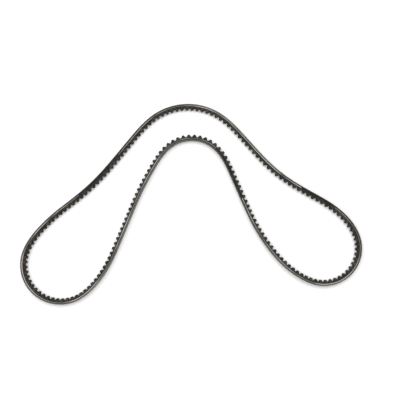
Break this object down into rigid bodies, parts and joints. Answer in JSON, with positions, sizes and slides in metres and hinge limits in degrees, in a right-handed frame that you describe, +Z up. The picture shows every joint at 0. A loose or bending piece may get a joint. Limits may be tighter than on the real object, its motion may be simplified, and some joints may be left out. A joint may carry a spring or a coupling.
{
  "type": "v belt",
  "caption": "Raw-edge cogged V-belt, a flexible closed loop of trapezoid section with cogs along its inner side, shown lying free on the edge of its back.",
  "frame": {"origin": "centre of the bounding box at the surface the belt lies on", "axes": "+X towards the right lobe, along the loop's length; +Y towards the crown; +Z up, across the belt's width"},
  "size_m": [0.4808, 0.2824, 0.013],
  "materials": {
    "back_fabric": "rubberised woven fabric, matt charcoal",
    "overcord_rubber": "cut rubber, matt black",
    "tension_cords": "cut twisted polyester cord, pale grey beige",
    "adhesion_rubber": "cut rubber, satin black",
    "cogged_rubber": "fibre-filled moulded rubber, matt black, ground flanks"
  },
  "bodies": {
    "crown": {"crown_back_fabric": "back_fabric", "crown_overcord_rubber": "overcord_rubber", "crown_tension_cords": "tension_cords", "crown_adhesion_rubber": "adhesion_rubber", "crown_cogged_rubber": "cogged_rubber"},
    "right_shoulder": {"right_shoulder_back_fabric": "back_fabric", "right_shoulder_overcord_rubber": "overcord_rubber", "right_shoulder_tension_cords": "tension_cords", "right_shoulder_adhesion_rubber": "adhesion_rubber", "right_shoulder_cogged_rubber": "cogged_rubber"},
    "right_lobe_outer": {"right_lobe_outer_back_fabric": "back_fabric", "right_lobe_outer_overcord_rubber": "overcord_rubber", "right_lobe_outer_tension_cords": "tension_cords", "right_lobe_outer_adhesion_rubber": "adhesion_rubber", "right_lobe_outer_cogged_rubber": "cogged_rubber"},
    "right_lobe_inner": {"right_lobe_inner_back_fabric": "back_fabric", "right_lobe_inner_overcord_rubber": "overcord_rubber", "right_lobe_inner_tension_cords": "tension_cords", "right_lobe_inner_adhesion_rubber": "adhesion_rubber", "right_lobe_inner_cogged_rubber": "cogged_rubber"},
    "right_arch": {"right_arch_back_fabric": "back_fabric", "right_arch_overcord_rubber": "overcord_rubber", "right_arch_tension_cords": "tension_cords", "right_arch_adhesion_rubber": "adhesion_rubber", "right_arch_cogged_rubber": "cogged_rubber"},
    "left_shoulder": {"left_shoulder_back_fabric": "back_fabric", "left_shoulder_overcord_rubber": "overcord_rubber", "left_shoulder_tension_cords": "tension_cords", "left_shoulder_adhesion_rubber": "adhesion_rubber", "left_shoulder_cogged_rubber": "cogged_rubber"},
    "left_lobe_outer": {"left_lobe_outer_back_fabric": "back_fabric", "left_lobe_outer_overcord_rubber": "overcord_rubber", "left_lobe_outer_tension_cords": "tension_cords", "left_lobe_outer_adhesion_rubber": "adhesion_rubber", "left_lobe_outer_cogged_rubber": "cogged_rubber"},
    "left_lobe_inner": {"left_lobe_inner_back_fabric": "back_fabric", "left_lobe_inner_overcord_rubber": "overcord_rubber", "left_lobe_inner_tension_cords": "tension_cords", "left_lobe_inner_adhesion_rubber": "adhesion_rubber", "left_lobe_inner_cogged_rubber": "cogged_rubber"},
    "left_arch": {"left_arch_back_fabric": "back_fabric", "left_arch_overcord_rubber": "overcord_rubber", "left_arch_tension_cords": "tension_cords", "left_arch_adhesion_rubber": "adhesion_rubber", "left_arch_cogged_rubber": "cogged_rubber"}
  },
  "joints": [
    {"name": "right_shoulder_flex", "type": "hinge", "parent": "crown", "child": "right_shoulder", "pos_m": [0.06821, 0.10105, 0.0065], "axis": [0, 0, 1], "range_deg": [-17.2, 17.2], "stiffness_Nm_per_rad": 0.12},
    {"name": "right_lobe_outer_flex", "type": "hinge", "parent": "right_shoulder", "child": "right_lobe_outer", "pos_m": [0.19011, 0.00347, 0.0065], "axis": [0, 0, 1], "range_deg": [-18, 18], "stiffness_Nm_per_rad": 0.12},
    {"name": "right_lobe_inner_flex", "type": "hinge", "parent": "right_lobe_outer", "child": "right_lobe_inner", "pos_m": [0.19414, -0.11214, 0.0065], "axis": [0, 0, 1], "range_deg": [-18, 18], "stiffness_Nm_per_rad": 0.12},
    {"name": "right_arch_flex", "type": "hinge", "parent": "right_lobe_inner", "child": "right_arch", "pos_m": [0.08217, -0.01393, 0.0065], "axis": [0, 0, 1], "range_deg": [-18, 18], "stiffness_Nm_per_rad": 0.12},
    {"name": "left_shoulder_flex", "type": "hinge", "parent": "crown", "child": "left_shoulder", "pos_m": [-0.0788, 0.09817, 0.0065], "axis": [0, 0, 1], "range_deg": [-18, 18], "stiffness_Nm_per_rad": 0.12},
    {"name": "left_lobe_outer_flex", "type": "hinge", "parent": "left_shoulder", "child": "left_lobe_outer", "pos_m": [-0.19003, -0.01247, 0.0065], "axis": [0, 0, 1], "range_deg": [-18, 18], "stiffness_Nm_per_rad": 0.12},
    {"name": "left_lobe_inner_flex", "type": "hinge", "parent": "left_lobe_outer", "child": "left_lobe_inner", "pos_m": [-0.20071, -0.13628, 0.0065], "axis": [0, 0, 1], "range_deg": [-18, 18], "stiffness_Nm_per_rad": 0.12},
    {"name": "left_arch_flex", "type": "hinge", "parent": "left_lobe_inner", "child": "left_arch", "pos_m": [-0.09637, -0.03915, 0.0065], "axis": [0, 0, 1], "range_deg": [-18, 18], "stiffness_Nm_per_rad": 0.12}
  ],
  "couplings": [
    {"joint": "right_lobe_outer_flex", "follows": "right_shoulder_flex", "ratio": -0.998},
    {"joint": "right_lobe_inner_flex", "follows": "right_shoulder_flex", "ratio": 1.003},
    {"joint": "right_arch_flex", "follows": "right_shoulder_flex", "ratio": -0.946},
    {"joint": "left_shoulder_flex", "follows": "right_shoulder_flex", "ratio": -0.908},
    {"joint": "left_lobe_outer_flex", "follows": "right_shoulder_flex", "ratio": 0.957},
    {"joint": "left_lobe_inner_flex", "follows": "right_shoulder_flex", "ratio": -1.028},
    {"joint": "left_arch_flex", "follows": "right_shoulder_flex", "ratio": 1.038}
  ]
}
